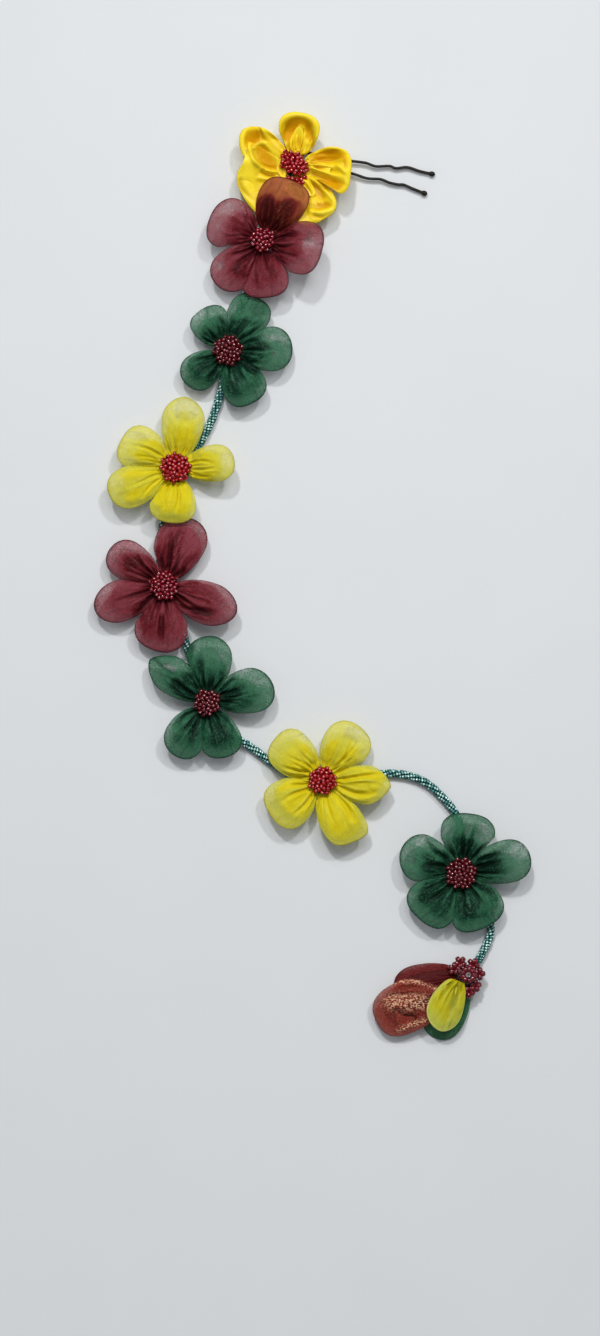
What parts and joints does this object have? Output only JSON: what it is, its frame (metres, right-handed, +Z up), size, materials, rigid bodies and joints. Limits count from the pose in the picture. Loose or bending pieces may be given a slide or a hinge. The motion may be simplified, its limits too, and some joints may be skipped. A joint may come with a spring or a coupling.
{
  "type": "hair pin with a trail of fabric flowers",
  "caption": "Hair pin with a trail of gathered organza and satin flowers with beaded middles, sewn along a beaded rope that ends in a half-open bud and bead cluster.",
  "frame": {"origin": "middle of the part's outline, on the surface that it lies on", "axes": "+Y along the trail towards the flower that holds the pin, +X to the side that the pin points to, +Z up from the surface"},
  "size_m": [0.1824, 0.3883, 0.0154],
  "materials": {
    "yellow_satin": "glossy satin",
    "maroon_organza": "sheer, soft shine",
    "green_organza": "sheer, soft shine",
    "yellow_organza": "sheer, soft shine",
    "gold_organza": "sheer, metallic shimmer",
    "wine_beads": "glossy",
    "teal_beads": "glossy",
    "black_wire": "gloss lacquer"
  },
  "bodies": {
    "root": {"satin_petal_1": "yellow_satin", "satin_petal_2": "yellow_satin", "satin_petal_3": "yellow_satin", "satin_petal_4": "yellow_satin", "satin_petal_5": "yellow_satin", "maroon_a_petal_1": "maroon_organza", "maroon_a_petal_2": "maroon_organza", "maroon_a_petal_3": "maroon_organza", "maroon_a_petal_4": "maroon_organza", "maroon_a_petal_5": "maroon_organza", "green_a_petal_1": "green_organza", "green_a_petal_2": "green_organza", "green_a_petal_3": "green_organza", "green_a_petal_4": "green_organza", "green_a_petal_5": "green_organza", "yellow_a_petal_1": "yellow_organza", "yellow_a_petal_2": "yellow_organza", "yellow_a_petal_3": "yellow_organza", "yellow_a_petal_4": "yellow_organza", "yellow_a_petal_5": "yellow_organza", "maroon_b_petal_1": "maroon_organza", "maroon_b_petal_2": "maroon_organza", "maroon_b_petal_3": "maroon_organza", "maroon_b_petal_4": "maroon_organza", "maroon_b_petal_5": "maroon_organza", "green_b_petal_1": "green_organza", "green_b_petal_2": "green_organza", "green_b_petal_3": "green_organza", "green_b_petal_4": "green_organza", "green_b_petal_5": "green_organza", "yellow_b_petal_1": "yellow_organza", "yellow_b_petal_2": "yellow_organza", "yellow_b_petal_3": "yellow_organza", "yellow_b_petal_4": "yellow_organza", "yellow_b_petal_5": "yellow_organza", "green_c_petal_1": "green_organza", "green_c_petal_2": "green_organza", "green_c_petal_3": "green_organza", "green_c_petal_4": "green_organza", "green_c_petal_5": "green_organza", "satin_beads": "wine_beads", "maroon_a_beads": "wine_beads", "green_a_beads": "wine_beads", "yellow_a_beads": "wine_beads", "maroon_b_beads": "wine_beads", "green_b_beads": "wine_beads", "yellow_b_beads": "wine_beads", "green_c_beads": "wine_beads", "bud_petal_green": "green_organza", "bud_petal_maroon": "maroon_organza", "bud_petal_gold": "gold_organza", "bud_petal_yellow": "yellow_organza", "bud_beads": "wine_beads", "beaded_rope": "teal_beads", "hair_pin": "black_wire"}
  },
  "joints": []
}
